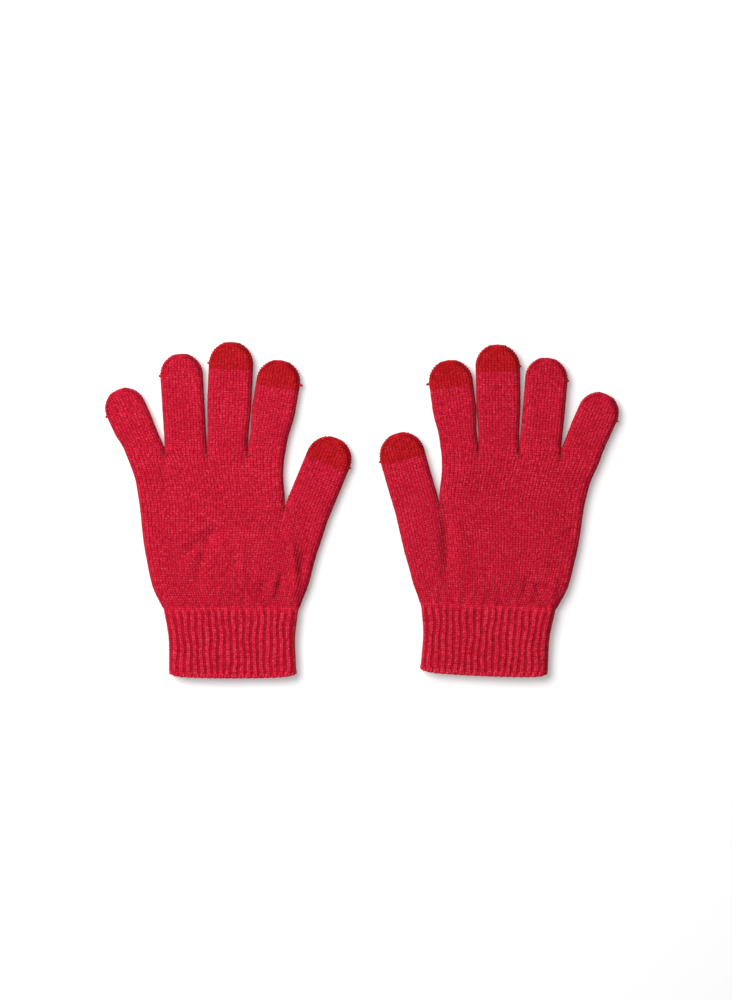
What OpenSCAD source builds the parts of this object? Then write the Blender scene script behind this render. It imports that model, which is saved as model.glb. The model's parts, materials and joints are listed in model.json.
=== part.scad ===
// A pair of knitted gloves, laid flat with the palms up, with touch-screen fingertips.
// Each glove is modelled as its knitted sections: a ribbed cuff with elastic threads and a
// bound-off edge, a palm, and fingers that are split where they bend.
// The fingers point along +Y, the palms face +Z, and both gloves lie on the plane Z = 0.

/* [Fabric] */
// Height of the glove as it lies, front layer to back layer
flat_h = 9; // [7.5:0.5:14]
// Height of the ribbed cuff as it lies
cuff_h = 10; // [8:0.5:15]
// Thickness of the knitted wall
wall = 1.6; // [1:0.1:2]
// Thickness of the ribbed wall of the cuff
cuff_wall = 1.8; // [1:0.1:2.2]
// Running gap between two sections that bend against each other
gap = 0.3; // [0.2:0.1:0.8]

/* [Palm and cuff] */
// Distance from the wrist to the knuckle line, where the fingers bend
palm_len = 102; // [95:1:110]
// Width of the palm where the cuff starts
wrist_w = 86; // [80:1:92]
// Length of the cuff, its bound-off edge included
cuff_len = 45.5; // [35:0.5:70]
// Width of the cuff at its narrowest
cuff_waist_w = 80; // [72:1:83]
// Width of the cuff at its mouth
cuff_mouth_w = 81; // [76:1:92]
// Length of the bound-off edge
edge_len = 2.5; // [1.5:0.5:4]
// Number of elastic threads in the cuff
elastic_count = 9; // [3:1:14]
// Thickness of one elastic thread
elastic_d = 0.6; // [0.4:0.1:0.7]

/* [Finger widths] */
// Width of the little finger
little_w = 25.5; // [22:0.5:26]
// Width of the ring finger
ring_w = 26.6; // [23:0.2:27]
// Width of the middle finger
middle_w = 27.8; // [24:0.2:28]
// Width of the index finger
index_w = 27.4; // [24:0.2:28]
// Width of the thumb
thumb_w = 28.6; // [25:0.2:30]

/* [Finger lengths] */
// Length of the little finger, root to tip
little_len = 53.5; // [50:0.5:60]
// Length of the ring finger, root to tip
ring_len = 63.5; // [56:0.5:70]
// Length of the middle finger, root to tip
middle_len = 71; // [60:0.5:78]
// Length of the index finger, root to tip
index_len = 60; // [54:0.5:68]
// Length of the thumb, root to tip
thumb_len = 57; // [50:0.5:64]
// Length of a fingertip knitted in conductive yarn
touch_len = 17.5; // [15:0.5:19]
// Length from the last bend of a finger to its tip
end_len = 21.5; // [20:0.5:24]

/* [Right glove] */
// Lean of the whole glove towards its thumb, in degrees
right_lean = 0; // [-5:0.5:5]
// Share of the full finger length that this glove is pulled out to
right_reach = 1; // [0.95:0.01:1.05]
// Spread of the little finger away from the thumb, in degrees
right_little_splay = -24.5; // [-26:0.5:-20]
// Spread of the thumb away from the fingers, in degrees
right_thumb_splay = 22.5; // [18:0.5:26]

/* [Left glove] */
// Lean of the whole glove towards its thumb, in degrees
left_lean = -2.4; // [-5:0.1:5]
// Share of the full finger length that this glove is pulled out to
left_reach = 0.96; // [0.95:0.01:1.05]
// Spread of the little finger away from the thumb, in degrees
left_little_splay = -22; // [-26:0.5:-20]
// Spread of the thumb away from the fingers, in degrees
left_thumb_splay = 19.5; // [18:0.5:26]

/* [Both gloves] */
// Spread of the ring finger, in degrees
ring_splay = -3.5; // [-5:0.5:-2]
// Spread of the middle finger, in degrees
middle_splay = 2.5; // [1:0.5:3]
// Spread of the index finger, in degrees
index_splay = 9.5; // [8:0.5:12]
// Distance between the wrists of the two gloves
wrist_spacing = 161.6; // [155:0.2:240]
// How much nearer the fingertips' side the left glove lies
left_shift = 1.4; // [-6:0.1:6]

/* [Hidden] */
$fn = 48;
eps = 0.01;
ring_steps = 7;                  // points on each round side of a lofted section

// Where each finger starts on the palm, and how wide it is there: [x, y, width].
LITTLE_ROOT = [-52.5, 90.5, 23.5];
RING_ROOT = [-30.4, 99, 25.4];
MIDDLE_ROOT = [-4.2, 99, 24.8];
INDEX_ROOT = [20.9, 99, 23.2];
THUMB_ROOT = [44.5, 55.5, 28.6];

thumb_bend = 7;                  // distance from the thumb's root to its first bend
thumb_mid_more = 2;              // the thumb's last bend lies this far beyond half its length
base_share = 0.53;               // share of the length between the outer bends held by the first section
little_end_less = 2;             // the little finger's last section is this much shorter
stub_len = 26;                   // how far the thumb's root reaches down into the palm
stub_left = 14;                  // how far it spreads to each side there
stub_right = 16.6;
tail_d = 1.2;                    // the cut yarn end at a fingertip
short_tail = 1;
long_tail = 3;
stitch_d = 1.6;                  // a darning stitch that ties front to back between two fingers
stitch_drop = 3;                 // distance from the knuckle line down to the stitches
STITCHES = [-43.8, -17.4, 9.2];  // where they stand across the palm
THUMB_STITCH = [-8.6, 0];        // the stitch beside the thumb, from the thumb's root
elastic_start = 5;               // distance from the wrist to the first elastic thread
elastic_pitch = 4;
elastic_clear = 0.1;             // space between the threads and the wall
cuff_waist_y = -20;              // where the cuff is narrowest

// How far the middle of the wrist, waist and mouth lies off the glove's line, away from the thumb.
wrist_off = 1.5;
waist_off = 1;
mouth_off = 0.5;
function across(y, w, off) = [y, -w / 2 - off, w / 2 - off];

// The palm's outline, up from the wrist: [y, left x, right x].
PALM = [
    across(0, wrist_w, wrist_off),
    [6, -49, 44.5],
    [15, -52.5, 48],
    [38, -57, 53.5],
    [50, -58.5, 45],
    [64, -59.8, 33.2],
    [84, -63, 31.2]
];
palm_top = [palm_len - gap / 2, -70.8, 32.6];

// The cuff's outline, down from the wrist: [y, left x, right x].
CUFF = [
    across(-gap, wrist_w, wrist_off),
    across(cuff_waist_y, cuff_waist_w, waist_off),
    across(edge_len - cuff_len, cuff_mouth_w, mouth_off)
];

// One finger of a glove: [name, root, splay, width, length, where the first, second and last
// bends are, side of its yarn tail, tail length, whether its tip is conductive].
function bends(root, splay, len, ending) =
    let(first = (palm_len - root[1]) / cos(splay), last = len - ending)
    [first, first + (last - first) * base_share, last];

function fingers(reach, little_splay, thumb_splay) = [
    ["little", LITTLE_ROOT, little_splay, little_w, little_len * reach,
        bends(LITTLE_ROOT, little_splay, little_len * reach, end_len - little_end_less),
        -1, short_tail, false],
    ["ring", RING_ROOT, ring_splay, ring_w, ring_len * reach,
        bends(RING_ROOT, ring_splay, ring_len * reach, end_len), -1, short_tail, false],
    ["middle", MIDDLE_ROOT, middle_splay, middle_w, middle_len * reach,
        bends(MIDDLE_ROOT, middle_splay, middle_len * reach, end_len), -1, short_tail, true],
    ["index", INDEX_ROOT, index_splay, index_w, index_len * reach,
        bends(INDEX_ROOT, index_splay, index_len * reach, end_len), 1, long_tail, true],
    ["thumb", THUMB_ROOT, thumb_splay, thumb_w, thumb_len * reach,
        [thumb_bend, thumb_bend, thumb_len * reach / 2 + thumb_mid_more], 1, short_tail, true]
];
RIGHT = fingers(right_reach, right_little_splay, right_thumb_splay);
LEFT = fingers(left_reach, left_little_splay, left_thumb_splay);
function finger(set, name) = set[search([name], set)[0]];

// How far a glove reaches from the middle of its wrist: away from its thumb, up and down.
function turned(p, a) = [p[0] * cos(a) - p[1] * sin(a), p[0] * sin(a) + p[1] * cos(a)];
function tip_centre(f) = [f[1][0], f[1][1]] + turned([0, f[4] - f[3] / 2], -f[2]);
function tip_place(f, lean) = turned(tip_centre(f), -lean);
function side_reach(set, lean) = let(f = finger(set, "little")) f[3] / 2 - tip_place(f, lean)[0];
function up_reach(set, lean) = max([for (f = set) tip_place(f, lean)[1] + f[3] / 2]);
function down_reach(lean) = cuff_len * cos(lean) + (cuff_mouth_w / 2 + mouth_off) * abs(sin(lean));

// The wrists' places, so that the pair's box is centred on the origin.
wrist_x = (side_reach(RIGHT, right_lean) - side_reach(LEFT, left_lean) - wrist_spacing) / 2;
top = max(up_reach(RIGHT, right_lean), up_reach(LEFT, left_lean) + left_shift);
bottom = max(down_reach(right_lean), down_reach(left_lean) - left_shift);
wrist_y = (bottom - top) / 2;

HAND_PARTS = ["palm", "cuff", "cuff_edge", "cuff_elastic", "crotch_stitches"];
FINGER_PARTS = [
    for (f = ["little", "ring", "middle", "index"]) each
        [str(f, "_base"), str(f, "_middle"), str(f, "_end"), str(f, "_tail")]
];
TOUCH_PARTS = ["middle_touch_tip", "index_touch_tip"];
THUMB_PARTS = ["thumb_base", "thumb_end", "thumb_touch_tip", "thumb_tail"];
PARTS = concat(HAND_PARTS, FINGER_PARTS, TOUCH_PARTS, THUMB_PARTS);

// ---- Sections of knitted tube -------------------------------------------------------------

// The outline of a flat tube that lies on its side, w wide and h high.
module flat_oval(w, h) {
    square([w - h, h], center = true);
    for (s = [-1, 1]) translate([s * (w - h) / 2, 0]) circle(d = h);
}

// A straight tube along +Y, of constant width, standing on Z = 0.
module tube(w, len) {
    translate([0, 0, flat_h / 2]) rotate([-90, 0, 0]) linear_extrude(len) difference() {
        flat_oval(w, flat_h);
        flat_oval(w - 2 * wall, flat_h - 2 * wall);
    }
}

// The round closed end of a flat tube, in plan a half disc, at the end of a tube w wide.
module round_end(w, h) {
    rotate_extrude(angle = 180) {
        translate([0, -h / 2]) square([(w - h) / 2, h]);
        intersection() {
            translate([(w - h) / 2, 0]) circle(d = h);
            translate([0, -h]) square([w, 2 * h]);
        }
    }
}

// A closed fingertip: a short tube and its round end.
module tip(w, len) {
    straight = len - w / 2;
    tube(w, straight);
    translate([0, straight, flat_h / 2]) difference() {
        round_end(w, flat_h);
        round_end(w - 2 * wall, flat_h - 2 * wall);
    }
}

// A section of a lofted solid is [y, left x, right x] or [y, left x, right x, skew], where skew
// is how far y rises for each unit of x. These are its points.
function skew_of(s) = len(s) > 3 ? s[3] : 0;
function section(s, h, z) = let(mid = (s[1] + s[2]) / 2, reach = (s[2] - s[1] - h) / 2) [
    for (side = [1, -1], k = [0:ring_steps - 1])
        let(a = side * 90 - k * 180 / (ring_steps - 1),
            x = mid + side * (reach + abs(cos(a)) * h / 2))
        [x, s[0] + skew_of(s) * x, z + h / 2 + sin(a) * h / 2]
];

// A solid through sections, ordered along +Y.
module loft(sections, h, z = 0) {
    n = 2 * ring_steps;
    last = len(sections) - 1;
    polyhedron(
        points = [for (i = [0:last]) each section(sections[i], h, z)],
        faces = concat(
            [[for (k = [0:n - 1]) k]],
            [for (i = [0:last - 1], k = [0:n - 1])
                let(a = i * n + k, b = i * n + (k + 1) % n)
                each [[a, b + n, b], [a, a + n, b + n]]],
            [[for (k = [n - 1:-1:0]) last * n + k]]
        ),
        convexity = 4
    );
}

// Sections moved in by t on both sides.
function inset(sections, t) = [for (s = sections) [s[0], s[1] + t, s[2] - t, skew_of(s)]];

// Sections with the first and last pushed out, so that a hollow cuts right through.
function longer(sections) = [
    for (i = [0:len(sections) - 1])
        let(push = i == 0 ? -eps : i == len(sections) - 1 ? eps : 0)
        [sections[i][0] + push, sections[i][1], sections[i][2], skew_of(sections[i])]
];

// ---- The hand -----------------------------------------------------------------------------

// Moves from the palm's frame to a finger's: Y along the finger from its root.
module along(f) {
    translate([f[1][0], f[1][1], 0]) rotate([0, 0, -f[2]]) children();
}

// The sections of the thumb's root in the palm, moved in by t.
function thumb_stub(f, t) = [
    [-stub_len, t - stub_left, stub_right - t],
    [f[5][0] - gap / 2, t - f[3] / 2, f[3] / 2 - t]
];

function palm_sections() = concat(PALM, [palm_top]);

module palm(set) {
    thumb = finger(set, "thumb");
    inner_h = flat_h - 2 * wall;
    color("crimson") difference() {
        union() {
            loft(palm_sections(), flat_h);
            along(thumb) loft(thumb_stub(thumb, 0), flat_h - 2 * eps, eps);
        }
        loft(longer(inset(palm_sections(), wall)), inner_h, wall);
        along(thumb) loft(longer(thumb_stub(thumb, wall)), inner_h - 2 * eps, wall + eps);
    }
}

module cuff_shell(sections) {
    difference() {
        loft(sections, cuff_h);
        loft(longer(inset(sections, cuff_wall)), cuff_h - 2 * cuff_wall, cuff_wall);
    }
}

module cuff() {
    color("crimson") cuff_shell([for (i = [len(CUFF) - 1:-1:0]) CUFF[i]]);
}

module cuff_edge() {
    mouth = CUFF[len(CUFF) - 1];
    color("firebrick") cuff_shell([[-cuff_len, mouth[1], mouth[2]], mouth]);
}

// Width of the cuff at a distance down from the wrist.
function cuff_w_at(y) = lookup(y, [for (s = CUFF) [s[0], s[2] - s[1]]]);
function cuff_mid_at(y) = lookup(y, [for (s = CUFF) [s[0], (s[2] + s[1]) / 2]]);

// One elastic thread, laid round the inside of the cuff.
module elastic_thread(w, h) {
    rotate([-90, 0, 0]) linear_extrude(elastic_d, center = true) difference() {
        flat_oval(w, h);
        flat_oval(w - 2 * elastic_d, h - 2 * elastic_d);
    }
}

module cuff_elastic() {
    clear = 2 * (cuff_wall + elastic_clear);
    color("mistyrose") for (i = [0:elastic_count - 1]) {
        y = -elastic_start - i * elastic_pitch;
        translate([cuff_mid_at(y), y, cuff_h / 2]) elastic_thread(cuff_w_at(y) - clear, cuff_h - clear);
    }
}

// Posts that tie the palm's front layer to its back layer at the roots of the fingers. The
// thumb's root is hollowed a little less high, so its post is a little shorter.
module crotch_stitches(set) {
    rise = flat_h - 2 * wall;
    color("firebrick") for (x = STITCHES)
        translate([x, palm_len - stitch_drop, wall]) cylinder(d = stitch_d, h = rise);
    color("firebrick") along(finger(set, "thumb"))
        translate([THUMB_STITCH[0], THUMB_STITCH[1], wall + eps])
        cylinder(d = stitch_d, h = rise - 2 * eps);
}

// ---- The fingers --------------------------------------------------------------------------

// The first section of a finger. It starts on the knuckle line, so its first face is skewed.
module base(f) {
    outer = [
        [f[5][0] + gap / 2 / cos(f[2]), -f[1][2] / 2, f[1][2] / 2, tan(f[2])],
        [f[5][1] - gap / 2, -f[3] / 2, f[3] / 2]
    ];
    color("crimson") along(f) difference() {
        loft(outer, flat_h);
        loft(longer(inset(outer, wall)), flat_h - 2 * wall, wall);
    }
}

module middle_section(f) {
    color("crimson") along(f) translate([0, f[5][1] + gap / 2, 0])
        tube(f[3], f[5][2] - f[5][1] - gap);
}

// The last section of a finger: closed, or open where a conductive tip goes on.
module end_section(f) {
    start = f[5][2] + gap / 2;
    color("crimson") along(f) translate([0, start, 0]) {
        if (f[8]) tube(f[3], f[4] - touch_len - start);
        else tip(f[3], f[4] - start);
    }
}

module thumb_base(f) {
    color("crimson") along(f) translate([0, f[5][0] + gap / 2, 0])
        tube(f[3], f[5][2] - f[5][0] - gap);
}

module touch_tip(f) {
    color("red") along(f) translate([0, f[4] - touch_len, 0]) tip(f[3], touch_len);
}

// The cut yarn end that stands out beside a fingertip, where its rounding starts.
module tail(f) {
    color("firebrick") along(f) translate([f[6] * (f[3] / 2 + eps), f[4] - f[3] / 2, flat_h / 2])
        rotate([0, f[6] * 90, 0]) cylinder(d = tail_d, h = f[7]);
}

// ---- One glove, and where the two gloves lie ----------------------------------------------

module glove_part(set, name) {
    if (name == "palm") palm(set);
    if (name == "cuff") cuff();
    if (name == "cuff_edge") cuff_edge();
    if (name == "cuff_elastic") cuff_elastic();
    if (name == "crotch_stitches") crotch_stitches(set);
    for (f = set) {
        is_thumb = f[0] == "thumb";
        if (name == str(f[0], "_base") && !is_thumb) base(f);
        if (name == str(f[0], "_base") && is_thumb) thumb_base(f);
        if (name == str(f[0], "_middle")) middle_section(f);
        if (name == str(f[0], "_end")) end_section(f);
        if (name == str(f[0], "_touch_tip") && f[8]) touch_tip(f);
        if (name == str(f[0], "_tail")) tail(f);
    }
}

module right_glove(name) {
    translate([wrist_x, wrist_y, 0]) rotate([0, 0, -right_lean]) glove_part(RIGHT, name);
}

module left_glove(name) {
    translate([wrist_x + wrist_spacing, wrist_y + left_shift, 0]) mirror([1, 0, 0])
        rotate([0, 0, -left_lean]) glove_part(LEFT, name);
}

for (p = PARTS) {
    right_glove(p);
    left_glove(p);
}
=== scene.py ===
"""A pair of red knitted touch-screen gloves, laid flat with the palms up.

Every knitted piece is a closed shell whose outer face is a grid of real stitches: four points
across each column of stitches (a wale) and three along each row (a course).
Lengths are in metres. A glove's own frame has x towards its thumb and y along its fingers,
from the middle of the wrist.
"""
import json
import math

import bpy
import numpy as np
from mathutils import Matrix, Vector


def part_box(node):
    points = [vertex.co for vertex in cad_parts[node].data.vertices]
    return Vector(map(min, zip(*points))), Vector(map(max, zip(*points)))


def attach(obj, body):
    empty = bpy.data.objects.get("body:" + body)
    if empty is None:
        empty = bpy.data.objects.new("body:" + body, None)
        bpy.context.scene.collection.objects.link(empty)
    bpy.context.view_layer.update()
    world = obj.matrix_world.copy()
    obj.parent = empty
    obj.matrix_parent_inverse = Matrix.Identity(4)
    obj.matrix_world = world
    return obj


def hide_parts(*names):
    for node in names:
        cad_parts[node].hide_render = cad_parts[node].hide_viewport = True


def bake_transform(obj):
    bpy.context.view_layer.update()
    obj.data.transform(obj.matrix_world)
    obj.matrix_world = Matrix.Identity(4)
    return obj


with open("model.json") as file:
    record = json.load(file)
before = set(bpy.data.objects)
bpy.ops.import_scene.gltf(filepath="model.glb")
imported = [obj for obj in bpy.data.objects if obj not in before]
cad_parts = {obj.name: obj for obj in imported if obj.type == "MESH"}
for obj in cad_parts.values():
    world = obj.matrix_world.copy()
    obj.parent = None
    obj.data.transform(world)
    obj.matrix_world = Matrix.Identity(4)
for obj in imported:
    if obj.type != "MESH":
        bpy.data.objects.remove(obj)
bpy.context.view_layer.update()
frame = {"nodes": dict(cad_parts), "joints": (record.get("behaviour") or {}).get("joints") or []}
JOINTS = {j["name"]: j for j in frame["joints"]}
MM = 0.001

# ---- Named sizes ----

WALE = 2.0 * MM  # width of a column of stitches
COURSE = 1.52 * MM  # height of a row of stitches
PER_WALE, PER_COURSE = 4, 3  # points across and along one stitch
LEG_RISE = 0.62  # how far a stitch's leg slants up, in courses
STITCH_DEPTH = 0.52 * MM  # how far a stitch stands out
WALL = 1.2 * MM  # thickness of the knit below its stitches
HALF_GAP = 0.1 * MM  # the inner faces keep this far from the middle height
INNER_STEP = 24  # the shell's inner face takes every so many rows of points
REST_Z = 0.35 * MM  # the back layer's underside, before its stitches
EDGE_R = 4.2 * MM  # rounding of a glove's folded side
FINGERS = ("little", "ring", "middle", "index")
BLOCK_WALES = (12, 12, 12, 11)  # the palm's wales below each finger
FOLD = 8.5 * MM  # length of knit between two points past a joint, worked out but used for no bend
FOLD_START = 0.5 * MM  # it starts this far past the joint
WRIST_START, WRIST_FOLD = -0.3 * MM, 1.3 * FOLD  # the same at the wrist, towards the cuff
RIBS = 20  # ribs across the front of the cuff
RIB_DEPTH = 0.42 * MM  # how far a rib stands out
KNIT_SHARE = 0.66  # share of a rib's width that its raised column takes
RIB_FADE = 4 * MM  # the ribs grow out of the palm over this length
CORNER_RISE, BOW = 1.6 * MM, 0.9 * MM  # how much the cuff's mouth curves up at its corners
CROTCH_DROP = {"right": 2.2 * MM, "left": 3.6 * MM}  # the fingers part this far below the knuckles
CROTCH_GAP = 0.5 * MM  # space between two fingers' knit at the knuckle line
# How far the little finger's outer side curves in at its root.
LITTLE_TUCK = {"right": 0.5 * MM, "left": -1.0 * MM}
HAND_SWELL = {"right": 0.0, "left": 1.7 * MM}  # how far the hand widens below the little finger
SWELL_REACH = 38 * MM  # it widens over this length
TURN_REACH = 16 * MM  # its side turns into the little finger's over this length
KNUCKLE_REACH = 10 * MM  # its columns draw apart into fingers over this length
# A finger keeps its root's width this far, and changes to its own over this share of the way to
# its last bend. It gets from its root's middle to its own line over the next length.
ROOT_KEEP, ROOT_FADE, LINE_REACH = 5 * MM, 0.6, 16 * MM
SWAY = {  # how far a fingertip lies off the finger's straight line
    "right": {},
    "left": {"index": 0.4 * MM, "middle": 0.9 * MM, "ring": 0.9 * MM, "thumb": -1.0 * MM},
}
CREASE_FOOT = 22 * MM  # where the thumb's stitches meet the palm's at the wrist
SEAM_LEVEL = 0.5  # height of the knit where pieces meet, as a share of the depth
TUCK = 0.8 * MM  # how far a piece's collar sinks inside the piece before it
YARN_R = 0.5 * MM  # radius of a loose end of yarn
HOLE_INSET, HOLE_PITCH = 1.7 * MM, 1.9 * MM
GATHER = 4.5 * MM  # the knit is drawn together this near a fingertip's end
EDGE_ROLL = 1.25 * MM  # thickness of the cuff's rolled rim, from its middle
ROLL_STEPS, ROLL_TURNS = 14, 18  # the rim's points along one rib, and round the roll
FLOOR_GAP = 0.02 * MM  # no point lies lower
STITCH_ROOM = 0.65 * MM  # room above the front layer for its stitches
THREAD_R, THREAD_INSET = 0.28 * MM, 1.75 * MM  # an elastic thread, inside the cuff's surface
BARS = ((0.6, 2.0), (1.7, 2.6), (2.8, 1.7))  # darning: mm below the crotch, and half lengths
STRAND_SIDES = 8  # sides of a single strand
PLIES, TWIST = 2, 1.9 * MM  # a yarn's strands, and the length of one twist
# Below a crotch the knit has a sharp valley and a soft one: how far down each fades, the soft
# one's half width, and how deep it is on the front (1) and the back (-1).
THUMB_VALLEY = (4 * MM, 16 * MM, 4 * MM, {1: 0.16, -1: 0.05})
FINGER_VALLEY = (2.2 * MM, 7 * MM, 3.5 * MM, {1: 0.3, -1: 0.1})

# Soft creases in each palm's front: points in mm, half width and height (below zero, a valley).
FOLDS = {
    "right": (
        (((-9, 52), (-20, 43), (-37, 31)), 4.2, -1.5),
        (((-9, 51), (-17, 40), (-21, 28), (-22, 13)), 3.3, -1.7),
        (((5, 46), (6, 8)), 3.0, 0.9),
        (((36, 47), (39, 28), (40, 13), (35, 3)), 2.6, 2.1),
        (((45, 38), (43, 18)), 2.6, -1.4),
        (((28, 20), (24, 6)), 2.4, 1.4),
        (((31, 24), (29, 8)), 2.3, -1.2),
        (((19, 18), (18, 6)), 2.2, -1.1),
    ),
    "left": (
        (((30, 62), (27, 46), (26, 30), (25, 13)), 4.0, -3.0),
        (((20, 52), (17, 30), (13, 12)), 3.6, 0.8),
        (((0, 34), (1, 18)), 3.0, -0.5),
        (((-24, 18), (-26, 6)), 2.3, -1.1),
        (((-32, 16), (-35, 4)), 2.4, -1.2),
        (((-44, 22), (-41, 4)), 2.6, 1.4),
    ),
}


def smooth(x):
    x = np.clip(x, 0, 1)
    return x * x * (3 - 2 * x)


def mix(a, b, w):
    return a + (b - a) * w


def unit(v):
    return v / np.linalg.norm(v, axis=1)[:, None]


def point(p):
    return tuple(float(v) for v in p)


def run_length(line):
    """How far along the line each of its points lies."""
    return np.concatenate([[0], np.cumsum(np.linalg.norm(np.diff(line, axis=0), axis=1))])


# ---- The frame of a glove and of a finger ----

class Glove:
    """A glove's own frame, read from its joints, and the sizes of its sections."""

    def __init__(self, side):
        self.side = side
        wrist = JOINTS[side + "_wrist_bend"]
        axis = np.array(wrist["axis"][:2])
        self.origin = np.array(wrist["pos_m"][:2])
        self.up = np.array([axis[1], -axis[0]])
        to_thumb = np.array(JOINTS[side + "_thumb_root"]["pos_m"][:2]) - self.origin
        self.right = axis * np.sign(axis @ to_thumb)
        self.mirrored = self.right[0] * self.up[1] - self.right[1] * self.up[0] < 0
        self.knuckle_y = self.local(JOINTS[side + "_ring_knuckle"]["pos_m"])[1]
        self.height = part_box(side + "_palm")[1].z
        self.cuff_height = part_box(side + "_cuff")[1].z

    def body(self, name):
        return f"{self.side}_{name}_body"

    def local(self, p):
        d = np.array(p, float)[..., :2] - self.origin
        return np.stack([d @ self.right, d @ self.up], axis=-1)

    def world(self, x, y, z):
        flat = self.origin + np.asarray(x)[..., None] * self.right + np.asarray(y)[..., None] * self.up
        return np.concatenate([flat, np.broadcast_to(z, flat.shape[:-1])[..., None]], axis=-1)


def node_points(node, local):
    """A CAD node's mesh points in a flat frame."""
    return local([v.co for v in frame["nodes"][node].data.vertices])


def node_edges(node, local):
    """A CAD node's mesh edges in a flat frame, as an array of (edges, ends, 2)."""
    pairs = np.array([e.vertices[:] for e in frame["nodes"][node].data.edges])
    return node_points(node, local)[pairs]


def spans(node, local, ys):
    """How far the node reaches left and right along each line y = constant."""
    edges = node_edges(node, local)
    out = []
    for y in ys:
        a, b = edges[:, 0], edges[:, 1]
        cut = (a[:, 1] - y) * (b[:, 1] - y) <= 0
        a, b = a[cut], b[cut]
        rise = b[:, 1] - a[:, 1]
        slanted = np.abs(rise) > 1e-9
        w = np.where(slanted, (y - a[:, 1]) / np.where(slanted, rise, 1), 0)
        x = a[:, 0] + (b[:, 0] - a[:, 0]) * w
        out.append((x.min(), x.max()))
    return np.array(out)


class Outline:
    """The left and right sides of a glove's hand and cuff, smoothed, against y."""

    def __init__(self, glove, thumb):
        nodes = glove.side + "_cuff", glove.side + "_palm"
        self.low = node_points(nodes[0], glove.local)[:, 1].min()
        levels = (np.linspace(self.low + 0.3 * MM, -0.5 * MM, 24),
                  np.linspace(0.2 * MM, glove.knuckle_y - 0.3 * MM, 60))
        sides = [spans(node, glove.local, level) for node, level in zip(nodes, levels)]
        left, right = np.concatenate(sides).T
        self.cut = [thumb.root + a * thumb.across for a in (-thumb.half, thumb.half)]
        self.crotch = self.cut[0] - thumb.dir * 2.4 * MM
        ys = np.concatenate(levels)
        low = ys < self.cut[1][1] - 1 * MM
        high = ys > self.cut[0][1] + 1.5 * MM
        self.curves = {
            "left": self.curve(ys, left),
            "low": self.curve(np.append(ys[low], self.cut[1][1]), np.append(right[low], self.cut[1][0])),
            "high": self.curve(np.append(self.crotch[1], ys[high]), np.append(self.crotch[0], right[high])),
        }

    def curve(self, ys, xs):
        """A line of edge points, rounded but for its ends, with how squarely rows meet it."""
        mean = np.convolve(np.pad(xs, 3, mode="edge"), np.ones(7) / 7, "valid")
        near = np.minimum(np.arange(len(xs)), np.arange(len(xs))[::-1])
        xs = mix(xs, mean, np.clip(near / 3, 0, 1))
        return ys, xs, 1 / np.hypot(1, np.gradient(xs, ys))

    def x(self, name, y):
        return np.interp(y, self.curves[name][0], self.curves[name][1])

    def square(self, name, y):
        return np.interp(y, self.curves[name][0], self.curves[name][2])


class Finger:
    """A finger or thumb: along t from its first joint, across a."""

    def __init__(self, glove, name):
        self.glove, self.name = glove, name
        side = glove.side
        kinds = ("root", "bend") if name == "thumb" else ("knuckle", "middle_bend", "end_bend")
        joints = [glove.local(JOINTS[f"{side}_{name}_{kind}"]["pos_m"]) for kind in kinds]
        self.root, way = joints[0], joints[-1] - joints[-2]
        self.dir = way / np.linalg.norm(way)
        self.across = np.array([self.dir[1], -self.dir[0]])
        self.skew = 0.0 if name == "thumb" else self.dir[0] / self.dir[1]
        self.touch = f"{side}_{name}_touch_tip" in frame["nodes"]
        self.bends = [(p - self.root) @ self.dir for p in joints]
        tip_node = f"{side}_{name}_{'touch_tip' if self.touch else 'end'}"
        tip = node_edges(tip_node, self.local)[..., 1]
        self.tip = tip.max()
        self.half = np.abs(node_edges(tip_node, self.local)[..., 0]).max()
        self.cuts = self.bends + ([tip.min()] if self.touch else []) + [self.tip]
        self.root_half, self.root_off = self.half, 0.0  # until set_root is called
        self.sway = SWAY[side].get(name, 0.0)
        if name != "thumb":
            self.root_span = spans(f"{side}_{name}_base", glove.local, [glove.knuckle_y + 0.4 * MM])[0]
        self.wales = round((2 * self.half + (math.pi - 2) * EDGE_R) / WALE)
        steps = [max(1, round((b - a) / COURSE)) for a, b in zip(self.cuts, self.cuts[1:])]
        self.marks = [0] + list(np.cumsum(steps))

    def local(self, p):
        d = self.glove.local(p) - self.root
        return np.stack([d @ self.across, d @ self.dir], axis=-1)

    def world(self, a, t, z):
        p = self.root + np.asarray(a)[..., None] * self.across + np.asarray(t)[..., None] * self.dir
        return self.glove.world(p[..., 0], p[..., 1], z)

    def set_root(self, left, right):
        """Sets where the finger starts and ends along the knuckle line."""
        self.root_span = (left, right)
        self.root_half = (right - left) / 2 * self.dir[1]
        self.root_off = ((left + right) / 2 - self.root[0]) * self.dir[1]

    def place(self, t):
        """The world point at t on the finger's line."""
        return point(self.world(0, t, 0.0))


# ---- The flat section of a glove ----

def pillow(d):
    """How full the glove is at a distance d inside its outline, from 0 at the fold to 1."""
    s = np.clip(d / EDGE_R, 0, 1)
    return np.sqrt(1 - (1 - s) ** 2)


def spread(u, width, left=1.0, right=1.0, square=1.0):
    """Where a column lies across the glove, so that columns are even round the folded sides.

    Left and right say how much each side is folded, and square how squarely rows meet it.
    """
    width = width * square
    extra = (math.pi / 2 - 1) * EDGE_R
    quarter = EDGE_R * math.pi / 2
    s = u * (width + 2 * extra)
    back = (width + 2 * extra) - s
    round_left = EDGE_R * (1 - np.cos(np.clip(s, 0, quarter) / EDGE_R))
    round_right = width - EDGE_R * (1 - np.cos(np.clip(back, 0, quarter) / EDGE_R))
    both = np.where(s < quarter, round_left, np.where(back < quarter, round_right, s - extra))
    return mix(u * width, both, np.where(u < 0.5, left, right)) / square


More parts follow.
